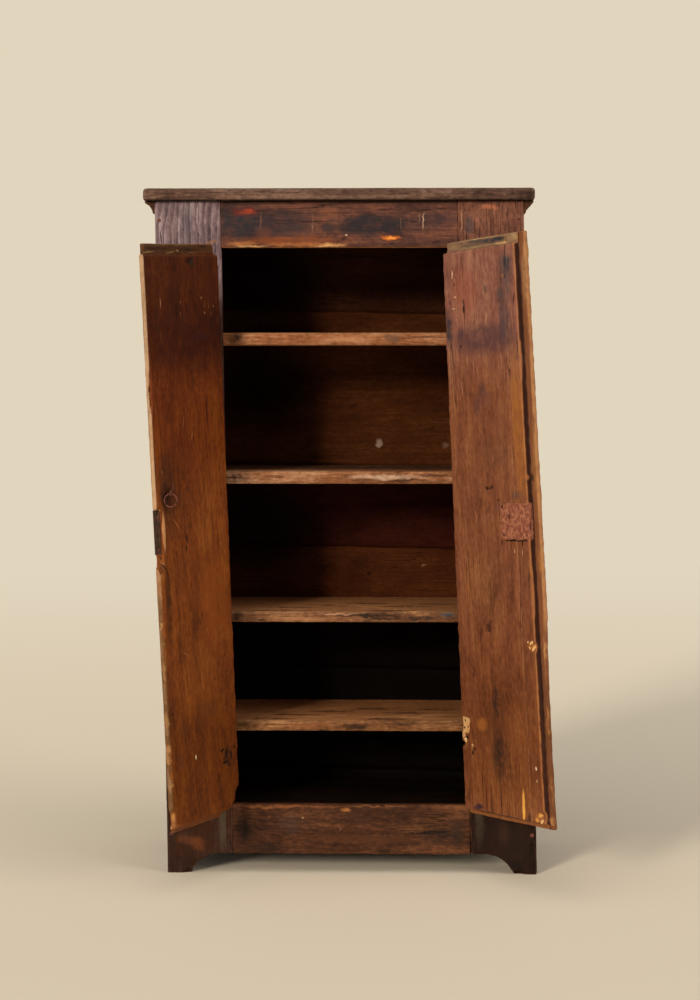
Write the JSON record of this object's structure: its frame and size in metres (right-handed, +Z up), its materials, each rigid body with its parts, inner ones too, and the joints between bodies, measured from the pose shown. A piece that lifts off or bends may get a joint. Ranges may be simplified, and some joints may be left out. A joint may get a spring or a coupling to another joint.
{
  "type": "cupboard",
  "caption": "Tall rustic plank cupboard with two hinged doors, open shelves, an overhanging top, bracket feet, a plate lock and a pull ring.",
  "frame": {"origin": "middle of the bottom of the whole object's box, on the floor, with both doors open", "axes": "+Z up, the doors face -Y, +X to the right seen from the front"},
  "size_m": [0.9986, 0.6874, 1.68],
  "materials": {
    "frame_wood": "dark aged pine with worn stain",
    "door_wood": "warm brown aged pine",
    "shelf_wood": "worn brown pine",
    "back_wood": "dark red-brown sawn pine",
    "forged_iron": "dark forged iron",
    "rusted_iron": "red-brown rusted sheet iron"
  },
  "bodies": {
    "case": {"back_board_1": "back_wood", "back_board_2": "back_wood", "back_board_3": "back_wood", "back_board_4": "back_wood", "back_board_5": "back_wood", "back_board_6": "back_wood", "back_nails": "forged_iron", "bottom_rail": "frame_wood", "cabinet_floor": "shelf_wood", "catch_nail": "forged_iron", "cleat_nails": "forged_iron", "frieze_rail": "frame_wood", "left_cornice_moulding": "frame_wood", "left_hinge_frame_nails": "forged_iron", "left_lower_hinge_frame_leaf": "forged_iron", "left_lower_hinge_pin": "forged_iron", "left_shelf_cleats": "back_wood", "left_side_panel": "frame_wood", "left_stile": "frame_wood", "left_upper_hinge_frame_leaf": "forged_iron", "left_upper_hinge_pin": "forged_iron", "right_cornice_moulding": "frame_wood", "right_hinge_frame_nails": "forged_iron", "right_lower_hinge_frame_leaf": "forged_iron", "right_lower_hinge_pin": "forged_iron", "right_shelf_cleats": "back_wood", "right_side_panel": "frame_wood", "right_stile": "frame_wood", "right_upper_hinge_frame_leaf": "forged_iron", "right_upper_hinge_pin": "forged_iron", "shelf_1": "shelf_wood", "shelf_2": "shelf_wood", "shelf_3": "shelf_wood", "shelf_4": "shelf_wood", "shelf_nails": "forged_iron", "stile_nails": "forged_iron", "top_board": "frame_wood", "top_nails": "forged_iron"},
    "left_door": {"left_door_plank": "door_wood", "strike_plate": "forged_iron", "strike_nails": "forged_iron", "ring_staple": "forged_iron", "left_hinge_door_nails": "forged_iron", "left_lower_hinge_door_leaf": "forged_iron", "left_upper_hinge_door_leaf": "forged_iron"},
    "right_door": {"right_door_plank": "door_wood", "right_door_meeting_strip": "door_wood", "lock_plate": "rusted_iron", "lock_stud": "forged_iron", "lock_spring": "forged_iron", "lock_nails": "forged_iron", "right_hinge_door_nails": "forged_iron", "right_lower_hinge_door_leaf": "forged_iron", "right_upper_hinge_door_leaf": "forged_iron"},
    "pull_ring": {"pull_ring": "forged_iron"},
    "lock_bolt": {"lock_bolt": "forged_iron"}
  },
  "joints": [
    {"name": "left_door_hinge", "type": "hinge", "parent": "case", "child": "left_door", "pos_m": [-0.30368, -0.05526, 0.845], "axis": [0.033, 0, -0.9995], "range_deg": [-122, 53]},
    {"name": "right_door_hinge", "type": "hinge", "parent": "case", "child": "right_door", "pos_m": [0.28602, -0.05526, 0.845], "axis": [-0.033, 0, 0.9995], "range_deg": [-125, 50]},
    {"name": "ring_swing", "type": "hinge", "parent": "left_door", "child": "pull_ring", "pos_m": [-0.40428, -0.29287, 0.94695], "axis": [-0.9205, -0.3907, 0], "range_deg": [-4, 45]},
    {"name": "lock_bolt_slide", "type": "slide", "parent": "right_door", "child": "lock_bolt", "axis": [0.5719, -0.8187, 0.0519], "range_m": [0, 0.01]}
  ]
}
